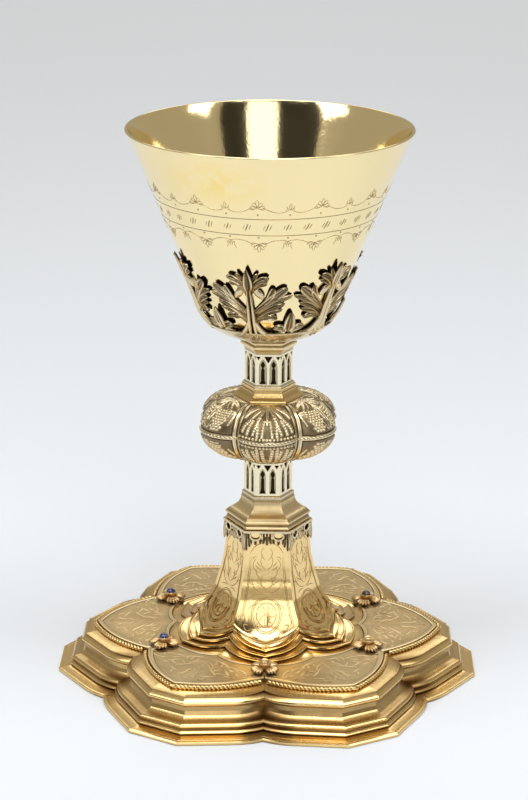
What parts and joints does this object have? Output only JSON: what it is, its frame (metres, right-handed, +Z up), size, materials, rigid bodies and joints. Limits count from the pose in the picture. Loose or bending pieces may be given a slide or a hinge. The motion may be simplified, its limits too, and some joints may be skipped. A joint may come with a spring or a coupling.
{
  "type": "chalice",
  "caption": "Silver-gilt altar chalice: lobed moulded foot with engraved plates and set stones, hexagonal stem, lobed knop, leaf calyx and conical bowl.",
  "frame": {"origin": "on the table under the middle of the foot", "axes": "+Z up along the stem to the bowl, -Y to the front, +X to the right as seen from the front"},
  "size_m": [0.1668, 0.1552, 0.22],
  "materials": {
    "bowl_gilt": "bright gilding, softly polished",
    "stem_gilt": "pale gilding, dark in the recesses",
    "cast_gilt": "cast and chased, gilding worn, dark patina in the hollows",
    "foot_gilt": "deep warm gilding, brown patina in the mouldings",
    "plate_gilt": "engraved, dull gilding with brown spots",
    "stone_clear": "clear round cabochon, polished",
    "stone_blue": "blue round cabochon, polished",
    "stone_dark": "dark round cabochon, polished"
  },
  "bodies": {
    "root": {"foot": "foot_gilt", "trumpet": "foot_gilt", "cornice": "stem_gilt", "apron": "stem_gilt", "stem_lower": "stem_gilt", "knop": "cast_gilt", "knop_wire": "stem_gilt", "knop_cap": "stem_gilt", "stem_upper": "stem_gilt", "neck": "stem_gilt", "calyx": "cast_gilt", "bowl": "bowl_gilt", "plate_right_front": "plate_gilt", "plate_wire_right_front": "foot_gilt", "plate_right": "plate_gilt", "plate_wire_right": "foot_gilt", "plate_right_back": "plate_gilt", "plate_wire_right_back": "foot_gilt", "plate_left_back": "plate_gilt", "plate_wire_left_back": "foot_gilt", "plate_left": "plate_gilt", "plate_wire_left": "foot_gilt", "plate_left_front": "plate_gilt", "plate_wire_left_front": "foot_gilt", "flower_front": "cast_gilt", "stone_front": "stone_clear", "flower_front_right": "cast_gilt", "stone_front_right": "stone_clear", "flower_back_right": "cast_gilt", "stone_back_right": "stone_dark", "flower_back": "cast_gilt", "stone_back": "stone_dark", "flower_back_left": "cast_gilt", "stone_back_left": "stone_blue", "flower_front_left": "cast_gilt", "stone_front_left": "stone_blue"}
  },
  "joints": []
}
